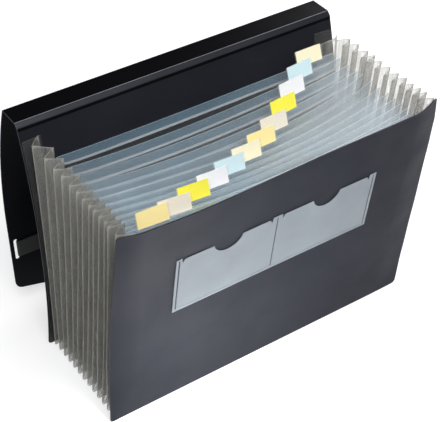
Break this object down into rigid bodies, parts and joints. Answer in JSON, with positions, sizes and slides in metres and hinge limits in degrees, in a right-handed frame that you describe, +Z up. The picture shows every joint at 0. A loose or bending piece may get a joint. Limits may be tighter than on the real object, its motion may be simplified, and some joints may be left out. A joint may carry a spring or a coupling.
{
  "type": "accordion file folder",
  "caption": "Standing accordion file folder with pleated frosted gussets, tabbed divider pockets, a card pocket on the front cover and a lid flap folded back behind it.",
  "frame": {"origin": "middle of the back cover's bottom edge, on the surface the folder stands on", "axes": "+X along the covers to the right, +Y from the front cover to the back, +Z up"},
  "size_m": [0.33, 0.2165, 0.2485],
  "materials": {
    "cover": "satin charcoal polypropylene",
    "frosted_pocket": "frosted",
    "elastic": "woven elastic",
    "frosted_film": "frosted translucent",
    "divider_film": "frosted translucent",
    "clear_film": "clear",
    "card_orange": "matte card",
    "card_beige": "matte card",
    "card_yellow": "matte card",
    "card_white": "matte card",
    "card_blue": "matte card",
    "card_cream": "matte card"
  },
  "bodies": {
    "back": {"back_cover": "cover", "left_gusset": "frosted_film", "right_gusset": "frosted_film", "bottom_gusset": "frosted_film"},
    "front": {"front_cover": "cover", "card_pocket": "frosted_pocket"},
    "spine": {"lid_spine": "cover"},
    "flap": {"lid_flap": "cover", "closure_band": "elastic"},
    "divider_01": {"divider_01": "divider_film", "tab_sleeve_01": "clear_film", "index_card_01": "card_orange"},
    "divider_02": {"divider_02": "divider_film", "tab_sleeve_02": "clear_film", "index_card_02": "card_beige"},
    "divider_03": {"divider_03": "divider_film", "tab_sleeve_03": "clear_film", "index_card_03": "card_yellow"},
    "divider_04": {"divider_04": "divider_film", "tab_sleeve_04": "clear_film", "index_card_04": "card_white"},
    "divider_05": {"divider_05": "divider_film", "tab_sleeve_05": "clear_film", "index_card_05": "card_blue"},
    "divider_06": {"divider_06": "divider_film", "tab_sleeve_06": "clear_film", "index_card_06": "card_cream"},
    "divider_07": {"divider_07": "divider_film", "tab_sleeve_07": "clear_film", "index_card_07": "card_orange"},
    "divider_08": {"divider_08": "divider_film", "tab_sleeve_08": "clear_film", "index_card_08": "card_beige"},
    "divider_09": {"divider_09": "divider_film", "tab_sleeve_09": "clear_film", "index_card_09": "card_yellow"},
    "divider_10": {"divider_10": "divider_film", "tab_sleeve_10": "clear_film", "index_card_10": "card_white"},
    "divider_11": {"divider_11": "divider_film", "tab_sleeve_11": "clear_film", "index_card_11": "card_blue"},
    "divider_12": {"divider_12": "divider_film", "tab_sleeve_12": "clear_film", "index_card_12": "card_cream"}
  },
  "joints": [
    {"name": "bellows_close", "type": "hinge", "parent": "back", "child": "front", "pos_m": [0, -0.07282, -0.4621], "axis": [-1, 0, 0], "range_deg": [0, 10.8], "deforming": ["left_gusset", "right_gusset", "bottom_gusset"]},
    {"name": "divider_01_close", "type": "hinge", "parent": "back", "child": "divider_01", "pos_m": [0, -0.06725, -0.50132], "axis": [-1, 0, 0], "range_deg": [0, 9.2]},
    {"name": "divider_02_close", "type": "hinge", "parent": "back", "child": "divider_02", "pos_m": [0, -0.06169, -0.43931], "axis": [-1, 0, 0], "range_deg": [0, 9.62]},
    {"name": "divider_03_close", "type": "hinge", "parent": "back", "child": "divider_03", "pos_m": [0, -0.05613, -0.38886], "axis": [-1, 0, 0], "range_deg": [0, 9.88]},
    {"name": "divider_04_close", "type": "hinge", "parent": "back", "child": "divider_04", "pos_m": [0, -0.05057, -0.34659], "axis": [-1, 0, 0], "range_deg": [0, 9.97]},
    {"name": "divider_05_close", "type": "hinge", "parent": "back", "child": "divider_05", "pos_m": [0, -0.045, -0.31016], "axis": [-1, 0, 0], "range_deg": [0, 9.91]},
    {"name": "divider_06_close", "type": "hinge", "parent": "back", "child": "divider_06", "pos_m": [0, -0.03944, -0.27784], "axis": [-1, 0, 0], "range_deg": [0, 9.68]},
    {"name": "divider_07_close", "type": "hinge", "parent": "back", "child": "divider_07", "pos_m": [0, -0.03388, -0.24825], "axis": [-1, 0, 0], "range_deg": [0, 9.29]},
    {"name": "divider_08_close", "type": "hinge", "parent": "back", "child": "divider_08", "pos_m": [0, -0.02831, -0.2201], "axis": [-1, 0, 0], "range_deg": [0, 8.73]},
    {"name": "divider_09_close", "type": "hinge", "parent": "back", "child": "divider_09", "pos_m": [0, -0.02275, -0.19198], "axis": [-1, 0, 0], "range_deg": [0, 8.01]},
    {"name": "divider_10_close", "type": "hinge", "parent": "back", "child": "divider_10", "pos_m": [0, -0.01719, -0.16195], "axis": [-1, 0, 0], "range_deg": [0, 7.12]},
    {"name": "divider_11_close", "type": "hinge", "parent": "back", "child": "divider_11", "pos_m": [0, -0.01163, -0.12673], "axis": [-1, 0, 0], "range_deg": [0, 6.07]},
    {"name": "divider_12_close", "type": "hinge", "parent": "back", "child": "divider_12", "pos_m": [0, -0.00606, -0.07932], "axis": [-1, 0, 0], "range_deg": [0, 4.85]},
    {"name": "spine_fold", "type": "hinge", "parent": "back", "child": "spine", "pos_m": [0, 0.0162, 0.24851], "axis": [1, 0, 0], "range_deg": [0, 180]},
    {"name": "flap_fold", "type": "hinge", "parent": "spine", "child": "flap", "pos_m": [0, 0.0392, 0.24851], "axis": [1, 0, 0], "range_deg": [0, 70]}
  ],
  "couplings": [
    {"joint": "divider_01_close", "follows": "bellows_close", "ratio": 0.85156},
    {"joint": "divider_02_close", "follows": "bellows_close", "ratio": 0.89061},
    {"joint": "divider_03_close", "follows": "bellows_close", "ratio": 0.91456},
    {"joint": "divider_04_close", "follows": "bellows_close", "ratio": 0.92345},
    {"joint": "divider_05_close", "follows": "bellows_close", "ratio": 0.9173},
    {"joint": "divider_06_close", "follows": "bellows_close", "ratio": 0.89609},
    {"joint": "divider_07_close", "follows": "bellows_close", "ratio": 0.85979},
    {"joint": "divider_08_close", "follows": "bellows_close", "ratio": 0.80832},
    {"joint": "divider_09_close", "follows": "bellows_close", "ratio": 0.74161},
    {"joint": "divider_10_close", "follows": "bellows_close", "ratio": 0.65957},
    {"joint": "divider_11_close", "follows": "bellows_close", "ratio": 0.56211},
    {"joint": "divider_12_close", "follows": "bellows_close", "ratio": 0.44921}
  ]
}
